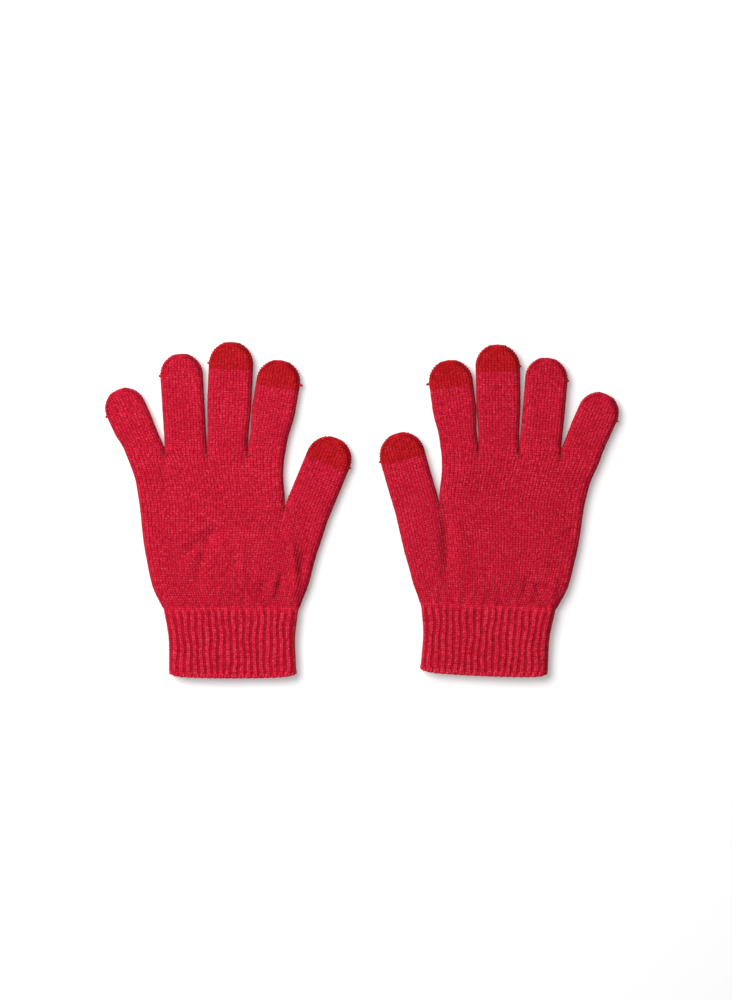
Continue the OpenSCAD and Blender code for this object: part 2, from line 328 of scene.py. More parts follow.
def layer_z(fullness, side, height, puff=0.0):
    """Height of the front (side 1) or back (side -1) layer."""
    mid = height / 2
    top = height - STITCH_ROOM + puff
    reach = np.where(side > 0, top - mid, mid - REST_Z)
    return mid + side * reach * fullness


# ---- Stitches ----

def stitch_grid(wales, first, last, fade_start=False, fade_end=False, collar=0):
    """Columns u (0 to 1), rows r in courses, and where each point lies on its stitch. A collar
    is a number of extra courses before the first."""
    k = np.arange(wales * PER_WALE + 1)
    rows = first + np.arange(-collar * PER_COURSE, (last - first) * PER_COURSE + 1) / PER_COURSE
    across = np.abs((k % PER_WALE) / PER_WALE * 2 - 1)
    slant = np.ones(len(rows))
    if fade_start:
        slant = slant * smooth(rows - first)
    if fade_end:
        slant = slant * smooth(last - rows)
    r = rows[:, None] + LEG_RISE * slant[:, None] * (across - 0.5)[None, :]
    u = np.broadcast_to(k / (wales * PER_WALE), r.shape)
    stitch = np.stack([np.broadcast_to(k / PER_WALE, r.shape), np.broadcast_to(rows[:, None], r.shape)], -1)
    return u, r, stitch


def plain_relief(stitch, seams=()):
    """Height of plain knitting: two slanted legs a stitch, with grooves between them. It is
    level along the rows in seams, where two pieces with other columns of stitches meet."""
    across = np.abs((stitch[..., 0] % 1) * 2 - 1)
    along = stitch[..., 1] % 1
    leg = np.where(across < 0.5, 0.62 + 0.38 * np.sin(math.pi * across), np.sin(math.pi * across) ** 0.8)
    uneven = chance(np.floor(stitch[..., 0] * 2 + 0.01), np.floor(stitch[..., 1] + 0.01))
    height = leg * (0.3 + 0.7 * np.sin(math.pi * along) ** 0.8) * (0.82 + 0.36 * uneven)
    for row in seams:
        height = mix(height, SEAM_LEVEL, np.exp(-((stitch[..., 1] - row) / 0.35) ** 2))
    return height


def chance(a, b):
    """A fixed number from 0 to 1 for each pair of whole numbers."""
    return np.abs(np.sin(a * 12.9898 + b * 78.233) * 43758.5453) % 1


def tucked(relief, rows, first):
    """Sinks the collar before the first course, so that it hides inside the piece before it."""
    sunk = smooth((first - rows) / 0.7)
    return mix(relief, -TUCK, sunk)


class Patch:
    """One grid of points of a knitted shell, on its front or back layer. Its rows run up the
    glove, or down."""

    def __init__(self, points, relief, stitch, side, open_end=True, depth=None, down=False):
        self.points, self.relief, self.stitch, self.side = points, relief, stitch, side
        self.open_end, self.down = open_end, down
        # depth is the stitch height as a share of STITCH_DEPTH; the yarn material paints light and shade
        # from it.
        self.depth = relief / STITCH_DEPTH if depth is None else depth


def weld(patches):
    """Numbers the patches' points, so that those at one place are one vertex."""
    flat = np.concatenate([p.points.reshape(-1, 3) for p in patches])
    key = np.round(flat / 1e-7).astype(np.int64)
    _, first, index = np.unique(key, axis=0, return_index=True, return_inverse=True)
    index = index.reshape(-1)
    grids, at = [], 0
    for p in patches:
        n = p.points.shape[0] * p.points.shape[1]
        grids.append(index[at:at + n].reshape(p.points.shape[:2]))
        at += n
    return flat[first], first, grids


def grid_quads(g, flip):
    quads = np.stack([g[:-1, :-1], g[:-1, 1:], g[1:, 1:], g[1:, :-1]], -1).reshape(-1, 4)
    return quads[:, ::-1] if flip else quads


def vertex_normals(points, quads):
    a, b, c, d = (points[quads[:, i]] for i in range(4))
    n = np.cross(c - a, d - b)
    total = np.zeros_like(points)
    for i in range(4):
        for axis in range(3):
            total[:, axis] += np.bincount(quads[:, i], n[:, axis], len(points))
    return total / np.maximum(np.linalg.norm(total, axis=1), 1e-20)[:, None]


def shell(name, patches, glove, mid=None, seed=0.0):
    """Builds a closed shell: welded patches with their relief outside, and a smooth inner face."""
    points, first, grids = weld(patches)
    flips = [((p.side < 0) != glove.mirrored) != p.down for p in patches]
    outer = np.concatenate([grid_quads(g, f) for g, f in zip(grids, flips)])
    normals = vertex_normals(points, outer)
    relief, depth = (np.concatenate([getattr(p, kind).reshape(-1) for p in patches])[first]
                     for kind in ("relief", "depth"))
    stitch = np.concatenate([p.stitch.reshape(-1, 2) for p in patches])[first]
    sides, shared = np.zeros((2, len(points)))
    for p, g in zip(patches, grids):
        ids = np.unique(g)
        sides[ids] += p.side
        shared[ids] += 1
    layer = sides / shared
    mid = glove.height / 2 if mid is None else mid
    inside = points - normals * WALL
    inside[:, 2] = np.where(layer > 0.9, np.maximum(inside[:, 2], mid + HALF_GAP), inside[:, 2])
    inside[:, 2] = np.where(layer < -0.9, np.minimum(inside[:, 2], mid - HALF_GAP), inside[:, 2])
    moved = points + normals * relief[:, None]
    moved[:, 2] = np.maximum(moved[:, 2], FLOOR_GAP)

    count = len(points)
    inner_id = -np.ones(count, np.int64)
    faces = [outer]
    for p, g, f in zip(patches, grids, flips):
        rows = sorted(set(range(0, g.shape[0], INNER_STEP)) | {g.shape[0] - 1})
        sub = g[rows]
        new = np.unique(sub[inner_id[sub] < 0])
        inner_id[new] = count + np.arange(len(new))
        count += len(new)
        faces.append(grid_quads(inner_id[sub], not f))
        for row, back in ((0, True), (-1, False))[:1 + p.open_end]:
            o = g[row]
            i = inner_id[o]
            rim = np.stack([o[:-1], o[1:], i[1:], i[:-1]], -1)
            faces.append(rim[:, ::-1] if back != f else rim)
    order = np.argsort(inner_id[inner_id >= 0])
    inner_from = np.nonzero(inner_id >= 0)[0][order]
    co = np.concatenate([moved, inside[inner_from]])
    depth = np.concatenate([depth, np.full(len(inner_from), 0.6)])
    where = np.concatenate([stitch, stitch[inner_from]])
    return mesh_object(name, co, np.concatenate(faces), depth, where, seed)


def mesh_object(name, co, quads, depth, stitch, seed):
    """A smooth-shaded mesh, with the attributes that the yarn material reads."""
    pinched = (quads == np.roll(quads, -1, axis=1)).any(axis=1)
    fine = quads[~pinched]
    tris = []
    for q in quads[pinched]:
        t = list(dict.fromkeys(int(i) for i in q))
        if len(t) == 3:
            tris.append(t)
    mesh = bpy.data.meshes.new(name)
    loops = np.append(fine, np.array(tris, np.int64)).astype(np.int32)
    starts = np.concatenate([np.arange(len(fine)) * 4, len(fine) * 4 + np.arange(len(tris)) * 3])
    mesh.vertices.add(len(co))
    mesh.vertices.foreach_set("co", co.astype(np.float32).reshape(-1))
    mesh.loops.add(len(loops))
    mesh.loops.foreach_set("vertex_index", loops)
    mesh.polygons.add(len(starts))
    mesh.polygons.foreach_set("loop_start", starts.astype(np.int32))
    mesh.update(calc_edges=True)
    mesh.shade_smooth()
    # depth: how far each point stands out, which the yarn material turns into painted highlight and painted
    # shade.
    layer = mesh.attributes.new("depth", "FLOAT", "POINT")
    layer.data.foreach_set("value", depth.astype(np.float32))
    full = np.concatenate([stitch, np.full((len(stitch), 1), seed)], axis=1)
    layer = mesh.attributes.new("stitch", "FLOAT_VECTOR", "POINT")
    layer.data.foreach_set("vector", full.astype(np.float32).reshape(-1))
    return add_object(name, mesh)


def add_object(name, data):
    o = bpy.data.objects.new(name, data)
    bpy.context.scene.collection.objects.link(o)
    return o


# ---- Fingers ----

def finger_surface(f, u, r, side):
    """A finger's front or back layer at columns u and rows r: points, and how far inside the
    outline and how far round the tip they are."""
    t = np.where(r < 0, r * COURSE, np.interp(r, f.marks, f.cuts))
    half = mix(f.root_half, f.half, smooth((t - ROOT_KEEP) / (f.bends[-1] * ROOT_FADE)))
    column = spread(u, 2 * half) - half
    past = np.clip(t - (f.tip - f.half), 0, f.half)
    ratio = np.sqrt(np.clip(1 - (past / f.half) ** 2, 0, 1))
    q = column / half
    squeeze = np.abs(q) / np.maximum((ratio ** 3 + (1 - ratio ** 3) * np.abs(q) ** 3), 1e-12) ** (1 / 3)
    a = np.where(past > 0, half * ratio * np.sign(q) * squeeze, column)
    d = np.where(past > 0, f.half - np.hypot(a, past), half - np.abs(a))
    z = layer_z(pillow(np.maximum(d, 0)), side, f.glove.height)
    swell = 0.18 * MM * np.sin(t / (6.5 * MM) + 2 * u + len(f.name)) * pillow(np.maximum(d - 2 * MM, 0))
    z = z + np.where(side > 0, swell * smooth(t / (5 * MM)), 0)
    turn = np.where(past > 0, np.arctan2(past, np.abs(a)) * f.half, 0)
    a = a + f.root_off * (1 - smooth(t / LINE_REACH)) + f.sway * np.clip(t / f.tip, 0, 1) ** 2
    lean = f.skew * np.clip(1 - t / max(f.bends[1], 1e-6), 0, 1)
    return f.world(a, t + a * lean, z), d, turn


def tip_relief(f, relief, d, turn):
    """Adds the small holes where stitches were taken in and the bumpy fold of a fingertip, and
    levels the knit where it is drawn together at the very end."""
    wave = turn / HOLE_PITCH * 2 * math.pi
    holes = np.exp(-((d - HOLE_INSET) / (0.45 * MM)) ** 2) * (0.5 + 0.5 * np.cos(wave))
    bumps = np.exp(-(np.maximum(d, 0) / (0.5 * MM))) * np.cos(wave + 1.0)
    on = (turn > 0) * smooth(turn / (3 * MM))
    relief = relief + on * (bumps * 0.32 - holes * 0.55) * MM
    drawn = smooth(1.3 - np.hypot(math.pi / 2 * f.half - turn, d) / GATHER)
    return mix(relief, SEAM_LEVEL * STITCH_DEPTH, drawn)


def finger_section(f, node, part, yarns):
    """One section of a finger, between two marks, as a shell."""
    first, last = f.marks[part], f.marks[part + 1]
    closed = part == len(f.cuts) - 2
    patches = []
    for side in (1, -1):
        fade = part == 0 and f.name != "thumb"
        u, r, stitch = stitch_grid(f.wales, first, last, fade, closed, collar=1)
        points, d, turn = finger_surface(f, u, r, side)
        relief = plain_relief(stitch, (0,) if fade else ()) * STITCH_DEPTH
        if closed:
            relief = tip_relief(f, relief, d, turn)
        relief = tucked(relief, stitch[..., 1], first)
        patches.append(Patch(points, relief, stitch, side, not closed))
    name = f"{f.glove.side}_{f.name}_{node}"
    piece = shell(name + "_knit", patches, f.glove, seed=part + 3.0 * len(f.name))
    slot = "touch" if node == "touch_tip" else "body"
    dress(piece, yarns[slot], name)
    return piece


def bend_with(piece, f, above, below, bend):
    """Works out the bodies below and above the bend and two points of knit past it, but uses none of them;
    bakes the piece's place into its mesh.
    """
    glove = f.glove
    low = "palm" if below == "palm" else f"{f.name}_{below}"
    start = bend + FOLD_START
    glove.body(low)
    glove.body(f"{f.name}_{above}")
    f.place(start)
    f.place(start + FOLD)
    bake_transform(piece)


def build_finger(f, yarns):
    sections = ["base", "end"] if f.name == "thumb" else ["base", "middle", "end"]
    plan = list(zip(sections, sections, ["palm"] + sections, f.bends))
    if f.touch:
        plan.append(("touch_tip",) + plan[-1][1:])
    for part, (node, *bend) in enumerate(plan):
        bend_with(finger_section(f, node, part, yarns), f, *bend)
    build_tail(f, yarns, plan[-1][1:])


def build_tail(f, yarns, bend):
    """The cut end of yarn that stands out beside the fingertip, at the CAD tail's place."""
    node = f"{f.glove.side}_{f.name}_tail"
    low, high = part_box(node)
    near = f.local([(low.x + high.x) / 2, (low.y + high.y) / 2])
    out = np.sign(near[0])
    reach = max(f.half + 1.3 * MM, abs(near[0]) + (high - low).xy.length / 2 - 1.0 * MM)
    mid = f.glove.height / 2
    steps = np.linspace(0, 1, 14)
    a = out * mix(f.half - 1.8 * MM, reach, steps) + f.sway * (near[1] / f.tip) ** 2
    t = near[1] + 0.15 * MM * np.sin(steps * 4)
    z = mid + 1.2 * MM - 0.5 * MM * steps
    line = f.world(a, t, z)
    piece = yarn_end(node + "_yarn", [line], 2.3 * YARN_R, end_share=0.6)
    dress(piece, yarns["sewing"], node)
    bend_with(piece, f, *bend)


# ---- Loose yarn ----

def cross_axes(line, closed=False):
    """Two directions across a line at each of its points."""
    if closed:
        along = np.roll(line, -1, axis=0) - np.roll(line, 1, axis=0)
    else:
        along = np.gradient(line, axis=0)
    along = unit(along)
    across = unit(np.cross(along, [0.3, 0.2, 0.93]))
    return across, np.cross(along, across)


def tube_quads(rings, turns, closed):
    """The faces of a tube whose points come ring by ring."""
    i, k = np.arange(rings if closed else rings - 1)[:, None] * turns, np.arange(turns)[None]
    following, beside = (i + turns) % (rings * turns), (k + 1) % turns
    corners = i + k, i + beside, following + beside, following + k
    return np.stack(np.broadcast_arrays(*corners), -1).reshape(-1, 4)


def swept(line, radius, closed=False):
    """Points and faces of a round strand along a line. Radius may change along it."""
    n, sides = len(line), STRAND_SIDES
    across, over = cross_axes(line, closed)
    angle = (np.arange(sides) * 2 * math.pi / sides)[None, :, None]
    r = np.broadcast_to(radius, (n,))[:, None, None]
    ring = across[:, None] * np.cos(angle) + over[:, None] * np.sin(angle)
    co = (line[:, None] + ring * r).reshape(-1, 3)
    quads = tube_quads(n, sides, closed)
    if not closed:
        ends = []
        for start, flip in ((0, True), ((n - 1) * sides, False)):
            for k in range(1, sides - 1, 2):
                quad = [start, start + k, start + k + 1, start + (k + 2) % sides]
                ends.append(quad[::-1] if flip else quad)
        quads = np.concatenate([quads, ends])
    return co, quads


def yarn_end(name, lines, radius, end_share=1.0):
    """Strands of plied yarn along the lines, tapered at both ends. The far end's radius is
    end_share of the near end's."""
    strands = []
    for line in lines:
        run = run_length(line)
        n = max(8, int(run[-1] / (0.22 * MM)))
        at = np.linspace(0, run[-1], n)
        centre = np.stack([np.interp(at, run, line[:, i]) for i in range(3)], axis=1)
        across, over = cross_axes(centre)
        taper = np.minimum(1, np.minimum(at + 0.2 * MM, run[-1] - at + 0.25 * MM) / (0.7 * MM))
        size = radius * mix(1.0, end_share, at / run[-1])
        for ply in range(PLIES):
            turn = at / TWIST * 2 * math.pi + ply * 2 * math.pi / PLIES
            offset = across * np.cos(turn)[:, None] + over * np.sin(turn)[:, None]
            strands.append(swept(centre + offset * 0.5 * size[:, None], size * 0.62 * taper))
    return strand_object(name, strands)


def strand_object(name, strands):
    """One mesh of all the strands, with the knit attributes of plain yarn."""
    starts = np.cumsum([0] + [len(co) for co, _ in strands])
    quads = np.concatenate([q + start for (_, q), start in zip(strands, starts)])
    co = np.concatenate([co for co, _ in strands])
    co[:, 2] = np.maximum(co[:, 2], FLOOR_GAP)
    stitch = co[:, :2] / (2 * MM)
    return mesh_object(name, co, quads, np.full(len(co), 0.8), stitch, 9.0)


def dress(piece, material, node):
    """Gives the piece its yarn, and puts it in the place of its CAD node."""
    piece.data.materials.clear()
    piece.data.materials.append(material)
    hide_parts(node)


# ---- The palm ----

class Palm:
    """The palm's outline, and the lines that its stitches follow."""

    def __init__(self, glove, fingers, thumb, outline):
        self.glove, self.fingers, self.thumb, self.outline = glove, fingers, thumb, outline
        self.top = glove.knuckle_y
        self.crotch_y = self.top - CROTCH_DROP[glove.side]
        self.cut, self.thumb_crotch = outline.cut, outline.crotch
        self.splits = [(a.root_span[1] + b.root_span[0]) / 2 for a, b in zip(fingers, fingers[1:])]
        starts = [x + CROTCH_GAP / 2 for x in self.splits]
        starts.insert(0, fingers[0].root_span[0] + LITTLE_TUCK[glove.side])
        ends = [x - CROTCH_GAP / 2 for x in self.splits] + [fingers[-1].root_span[1]]
        for f, start, end in zip(fingers, starts, ends):
            f.set_root(start, end)
        self.rows = round(self.top / COURSE)
        self.pitch = self.top / self.rows

    def near_top(self, y):
        return smooth((y - self.top + KNUCKLE_REACH) / KNUCKLE_REACH)

    def left(self, y):
        """The little finger's side, which runs on in the finger's own direction at the top."""
        swell = HAND_SWELL[self.glove.side] * smooth((y - self.top) / SWELL_REACH + 1)
        little = self.fingers[0]
        ahead = little.root_span[0] + (y - self.top) * little.dir[0] / little.dir[1]
        return mix(self.outline.x("left", y) - swell, ahead, smooth((y - self.top) / TURN_REACH + 1))

    def hand_right(self, y):
        """The index finger's side, above the thumb."""
        return mix(self.outline.x("high", y), self.fingers[-1].root_span[1], self.near_top(y) ** 3)

    def crease(self, y):
        """The line in which the thumb's stitches meet the palm's, below their crotch."""
        s = np.clip(y / self.thumb_crotch[1], 0, 1)
        return mix(CREASE_FOOT, self.thumb_crotch[0], s ** 1.4)

    def right(self, y):
        return np.where(y < self.thumb_crotch[1], self.crease(y), self.hand_right(y))

    def outer(self, s):
        """The thumb's side of the palm, from the wrist (0) to where the thumb starts (1)."""
        ys = np.linspace(0, self.cut[1][1], 40)
        xs = self.outline.x("low", ys)
        run = run_length(np.stack([xs, ys], -1))
        return np.interp(s, run / run[-1], xs), np.interp(s, run / run[-1], ys)

    def creases(self, x, y, side):
        """How full the palm is, counting the valleys below the thumb and between the fingers."""
        below = self.thumb_crotch[1] - y
        full = valley(np.abs(x - self.crease(y)), below, THUMB_VALLEY, side)
        for split in self.splits:
            full = full * valley(np.abs(x - split), self.crotch_y - y, FINGER_VALLEY, side)
        return full

    def puff(self, x, y):
        """Soft folds on the front: gathers above the cuff, creases and a slow swell."""
        left, right = self.outline.x("left", 0.0), self.outline.x("low", 0.0)
        rib = (x - left + 2.4 * MM) / (right - left + 4.8 * MM) * RIBS
        up = np.maximum(y, 0)
        waves = 0.22 * MM * np.exp(-up / (2.2 * MM)) * np.cos(2 * math.pi * (rib - 0.25))
        waves = waves + 0.3 * MM * np.exp(-up / (8 * MM)) * np.cos(rib * 3.9 + 0.7 + up / (6 * MM))
        swell = 0.3 * MM * np.sin(x / (11 * MM) + y / (17 * MM) + (1.0 if self.glove.mirrored else 3.0))
        folds = sum(fold_height(x, y, fold) for fold in FOLDS[self.glove.side])
        root = np.stack([x, y], -1) - self.thumb.root
        beside = np.maximum(np.abs(root @ self.thumb.across) - self.thumb.half, 0)
        from_thumb = np.hypot(np.maximum(-(root @ self.thumb.dir), 0), beside)
        fade = smooth((self.top - y) / (20 * MM)) * smooth(from_thumb / (12 * MM))
        return (waves + swell + folds) * fade

    def patch(self, x, y, full, stitch, seams, side):
        """The front or back layer's knit at x and y, where the glove is as full as `full`."""
        z = layer_z(full, side, self.glove.height, self.puff(x, y) if side > 0 else 0.0)
        relief = plain_relief(stitch, seams) * STITCH_DEPTH
        return Patch(self.glove.world(x, y, z), relief, stitch, side)


def valley(off, below, sizes, side):
    """How full the knit is beside the valley below a crotch. Above the crotch it is full."""
    sharp_reach, soft_reach, width, softness = sizes
    down = np.clip(below, 0, None)
    sharp = np.exp(-down / sharp_reach)
    soft = softness[side] * np.exp(-down / soft_reach)
    dip = 1 - sharp * (1 - pillow(off)) - (1 - sharp) * soft * np.exp(-(off / width) ** 2)
    return np.where(below >= 0, dip, 1.0)


def fold_height(x, y, fold):
    """Height of one soft crease: a line of points in mm, its half width and its height in mm."""
    line, width, height = np.array(fold[0], float) * MM, fold[1] * MM, fold[2] * MM
    run = run_length(line)
    nearest, at = np.full(np.shape(x), 1e3), np.zeros(np.shape(x))
    for i, (a, b) in enumerate(zip(line, line[1:])):
        d = b - a
        t = np.clip(((x - a[0]) * d[0] + (y - a[1]) * d[1]) / (d @ d), 0, 1)
        off = np.hypot(x - a[0] - t * d[0], y - a[1] - t * d[1])
        at = np.where(off < nearest, run[i] + t * (run[i + 1] - run[i]), at)
        nearest = np.minimum(nearest, off)
    fade = smooth(at / (0.25 * run[-1])) * smooth((run[-1] - at) / (0.35 * run[-1]))
    return height * np.exp(-(nearest / width) ** 2) * (0.15 + 0.85 * fade)


def hand_block(palm, i, side):
    """The palm's columns below finger i, from the wrist to the knuckle line."""
    last = len(FINGERS) - 1
    f = palm.fingers[i]
    u, r, stitch = stitch_grid(BLOCK_WALES[i], 0, palm.rows, True, True)
    stitch = stitch + np.array([sum(BLOCK_WALES[:i]), 0])
    y = r * palm.pitch
    left, right = palm.left(y), palm.right(y)
    cuts = [palm.left(palm.crotch_y), *palm.splits, palm.hand_right(palm.crotch_y)]
    low, high = (mix(left, right, (c - cuts[0]) / (cuts[-1] - cuts[0])) for c in cuts[i:i + 2])
    part = np.clip((y - palm.crotch_y) / (palm.top - palm.crotch_y), 0, 1)
    above = y > palm.crotch_y
    if i > 0:
        low = np.where(above, mix(cuts[i], f.root_span[0], part), low)
    if i < last:
        high = np.where(above, mix(cuts[i + 1], f.root_span[1], part), high)
    near = palm.near_top(y)
    over_thumb = y > palm.thumb_crotch[1]
    square_l = mix(palm.outline.square("left", y), f.dir[1], near)
    square_r = mix(palm.outline.square("high", y), f.dir[1], near)
    outside = {0: square_l, last: np.where(over_thumb, square_r, 1)}.get(i, 1.0)
    square = mix(outside, f.dir[1], near)
    round_right = smooth((y - palm.thumb_crotch[1]) / (8 * MM)) if i == last else near
    x = low + spread(u, high - low, 1.0 if i == 0 else near, round_right, square)
    full = palm.creases(x, y, side) * pillow((x - left) * square_l)
    full = np.where(over_thumb, full * pillow((right - x) * square_r), full)
    full = np.where(above, pillow((x - low) * square) * pillow((high - x) * square), full)
    return palm.patch(x, y, full, stitch, (0, palm.rows), side)


def gusset_block(palm, side):
    """The palm's columns below the thumb, which fan from the crease to the thumb's root."""
    crotch_row = palm.thumb_crotch[1] / palm.pitch
    extra = np.linalg.norm(palm.cut[0] - palm.thumb_crotch) / palm.pitch
    rows = math.ceil(crotch_row + extra)
    u, r, stitch = stitch_grid(palm.thumb.wales, 0, rows, True, False)
    stitch = stitch + np.array([sum(BLOCK_WALES), 0])
    y_left = r * palm.pitch
    over = np.clip((r - crotch_row) / (rows - crotch_row), 0, 1)
    below = r <= crotch_row
    above = mix(palm.thumb_crotch, palm.cut[0], over[..., None])
    past = np.maximum(r - rows, 0)[..., None] * palm.thumb.dir * COURSE
    left_x = np.where(below, palm.crease(y_left), above[..., 0]) + past[..., 0]
    left_y = np.where(below, y_left, above[..., 1]) + past[..., 1]
    along = r / rows
    out_x, out_y = (way + past[..., i] for i, way in enumerate(palm.outer(along)))
    width = np.hypot(out_x - left_x, out_y - left_y)
    square = mix(palm.outline.square("low", out_y), 1.0, smooth(along * 1.3))
    w = spread(u, width, smooth(over), 1.0, square) / width
    x, y = mix(left_x, out_x, w), mix(left_y, out_y, w)
    crease = palm.creases(x, np.minimum(y, palm.thumb_crotch[1]), side)
    full = pillow(width * (1 - w) * square) * np.where(below, crease, pillow(width * w))
    return palm.patch(x, y, full, stitch, (0,), side)


def build_palm(palm, yarns):
    patches = []
    for side in (1, -1):
        patches += [hand_block(palm, i, side) for i in range(len(FINGERS))]
        patches.append(gusset_block(palm, side))
    piece = shell(palm.glove.side + "_palm_knit", patches, palm.glove)
    dress(piece, yarns["body"], palm.glove.side + "_palm")
    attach(piece, palm.glove.body("palm"))


def build_darning(palm, yarns):
    """Small bars of yarn that close the holes at the roots of the fingers and of the thumb."""
    lines = []
    spots = [((x, palm.crotch_y), np.array([1.0, 0.0])) for x in palm.splits]
    spots.append((palm.thumb_crotch, palm.thumb.across))
    for (x, y), way in spots:
        down = np.array([way[1], -way[0]])
        for k, (drop, half) in enumerate(BARS):
            s = np.linspace(-1, 1, 12)
            centre = np.array([x, y]) + down * drop * MM
            flat = centre + way * (s * half * MM)[:, None] + down * (0.35 * MM * np.sin(3 * s + k))[:, None]
            for side in (1, -1):
                full = palm.creases(flat[:, 0], np.minimum(flat[:, 1], y - 0.1 * MM), side)
                z = layer_z(full, side, palm.glove.height) + side * (0.7 - 1.1 * s ** 4) * MM
                lines.append(palm.glove.world(flat[:, 0], flat[:, 1], z))
    piece = yarn_end(palm.glove.side + "_darning", lines, YARN_R)
    dress(piece, yarns["sewing"], palm.glove.side + "_crotch_stitches")
    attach(piece, palm.glove.body("palm"))


# ---- The cuff ----

class Cuff:
    """The ribbed tube below the wrist. Its rows run down from the wrist."""

    def __init__(self, glove, palm, outline):
        self.glove, self.palm, self.outline = glove, palm, outline
        self.length = -outline.low
        self.full_length = -node_points(glove.side + "_cuff_edge", glove.local)[:, 1].min()
        self.rows = round(self.length / COURSE)

    def surface(self, u, y, side, inset=0.0):
        """Points of the front or back layer. The knit half of each rib is the wider one."""
        left, right = self.outline.x("left", y) + inset, self.outline.x("low", y) - inset
        phase = u * RIBS % 1
        wide = np.where(phase < 0.5, phase * 2 * KNIT_SHARE, 1 - (1 - phase) * 2 * (1 - KNIT_SHARE))
        grow = smooth(-y / RIB_FADE)
        u = u + (wide - phase) * grow / RIBS
        x = left + spread(u, right - left)
        from_side = np.minimum(x - left, right - x)
        bow = CORNER_RISE * np.exp(-from_side / (3 * MM)) + BOW * (2 * x / (right - left)) ** 2
        full = pillow((x - left) * self.outline.square("left", y))
        full = full * pillow((right - x) * self.outline.square("low", y))
        height = mix(self.glove.height, self.glove.cuff_height, grow) - 2 * inset
        wave = 0.22 * MM * np.sin(x / (9 * MM) + y / (14 * MM)) * grow
        puff = self.palm.puff(x, 0 * y) * np.exp(y / (4 * MM)) + wave if side > 0 else 0.0
        bend = np.sin(y / (6 * MM) + x / (5 * MM)) + 0.6 * np.sin(y / (3.1 * MM) - x / (8 * MM))
        x = x + 0.4 * MM * bend * grow * full ** 8
        z = layer_z(full, side, height, puff) + inset
        return self.glove.world(x, y + bow * (y / self.length) ** 2, z)


def rib_relief(stitch, y):
    """Raised knit columns and sunk purl columns, which start below the palm: how high they
    stand, and how light their yarn is painted, with painted shade in the low stitches and purl columns."""
    phase = stitch[..., 0] / 2 % 1
    grow = smooth(-y / RIB_FADE)
    wave = np.minimum(np.tanh(1.9 * (np.cos(2 * math.pi * (phase - 0.25)) + 0.5)), 0.95)
    purl = phase >= 0.5
    bumps = 0.1 + 0.35 * np.sin(math.pi * (stitch[..., 1] % 1)) * np.sin(math.pi * (stitch[..., 0] % 1))
    plain = plain_relief(stitch, (0,))
    texture = np.where(purl, mix(plain, bumps, grow), plain)
    relief = texture * STITCH_DEPTH + (wave - 0.2) * RIB_DEPTH * grow * 0.5
    # The lightness paints shade: darker where the stitches sit low and in the sunk purl columns, lighter on
    # the raised knit columns.
    return relief, texture + 0.1 + 0.06 * (wave - 0.95) * grow


def build_cuff(cuff, yarns):
    glove = cuff.glove
    patches = []
    for side in (1, -1):
        u, r, stitch = stitch_grid(2 * RIBS, 0, cuff.rows, True, True, collar=1)
        y = -r * cuff.length / cuff.rows
        relief, depth = rib_relief(stitch, y)
        relief = tucked(relief, stitch[..., 1], 0)
        stitch = np.stack([stitch[..., 0], -stitch[..., 1]], -1)
        patches.append(Patch(cuff.surface(u, y, side), relief, stitch, side, True, depth, True))
    piece = shell(glove.side + "_cuff_knit", patches, glove, mid=glove.cuff_height / 2)
    dress(piece, yarns["cuff"], glove.side + "_cuff")
    wrist_fold(piece, glove)


def wrist_fold(piece, glove):
    """Works out the palm's and the cuff's bodies and two points below the wrist, but uses none of them;
    bakes the piece's place into its mesh.
    """
    glove.body("palm")
    glove.body("cuff")
    point(glove.world(0.0, WRIST_START, 0.0))
    point(glove.world(0.0, WRIST_START - WRIST_FOLD, 0.0))
    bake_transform(piece)


def round_line(cuff, count, y, inset):
    """A closed line round the cuff's wall at a distance y from the wrist."""
    u, ys = np.arange(count) / count, np.full(count, y)
    front, back = (cuff.surface(u, ys, side, inset) for side in (1, -1))
    return np.concatenate([front, back[::-1]])


def build_cuff_edge(cuff, yarns):
    """The bound-off edge: a thick rolled rim with one slanted loop for each column of stitches."""
    glove = cuff.glove
    steps, turns = RIBS * ROLL_STEPS, ROLL_TURNS
    centre = round_line(cuff, steps, EDGE_ROLL - cuff.full_length, 0.85 * MM)
    n = len(centre)
    along = np.roll(centre, -1, axis=0) - np.roll(centre, 1, axis=0)
    down = -np.append(glove.up, 0.0)
    out = unit(np.cross(along, down))
    if np.mean(np.sum(out * (centre - centre.mean(axis=0)), axis=1)) < 0:
        out = -out
    angle = np.arange(turns) * 2 * math.pi / turns
    phase = (np.arange(n) % steps) / ROLL_STEPS
    rib = np.cos(2 * math.pi * (phase - 0.25))[:, None]
    loop = phase[:, None] * 2 + np.abs(angle[None] - math.pi) / (2 * math.pi) * 1.2
    strand = np.abs(np.sin(math.pi * loop))
    thick = EDGE_ROLL * (0.82 + 0.26 * rib + 0.12 * strand)
    length = EDGE_ROLL * (0.9 + 0.12 * rib + 0.12 * strand) * np.where(np.sin(angle) < 0, 1.9, 1.0)
    square = np.sign(np.cos(angle)) * np.abs(np.cos(angle)) ** 0.6
    co = centre[:, None] + out[:, None] * (square[None] * thick)[..., None]
    co = co + down * (np.sin(angle)[None] * length)[..., None]
    quads = tube_quads(n, turns, True)
    if not glove.mirrored:
        quads = quads[:, ::-1]
    co = co.reshape(-1, 3)
    co[:, 2] = np.maximum(co[:, 2], FLOOR_GAP)
    # Painted light and shade: lighter on the loops' crowns and the ribs, darker between them.
    depth = (0.25 + 0.6 * strand + 0.15 * rib).reshape(-1)
    stitch = np.stack([loop.reshape(-1), np.broadcast_to(angle / 2.1, (n, turns)).reshape(-1)], -1)
    piece = mesh_object(glove.side + "_cuff_bound_edge", co, quads, depth, stitch, 5.0)
    dress(piece, yarns["cuff"], glove.side + "_cuff_edge")
    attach(piece, glove.body("cuff"))


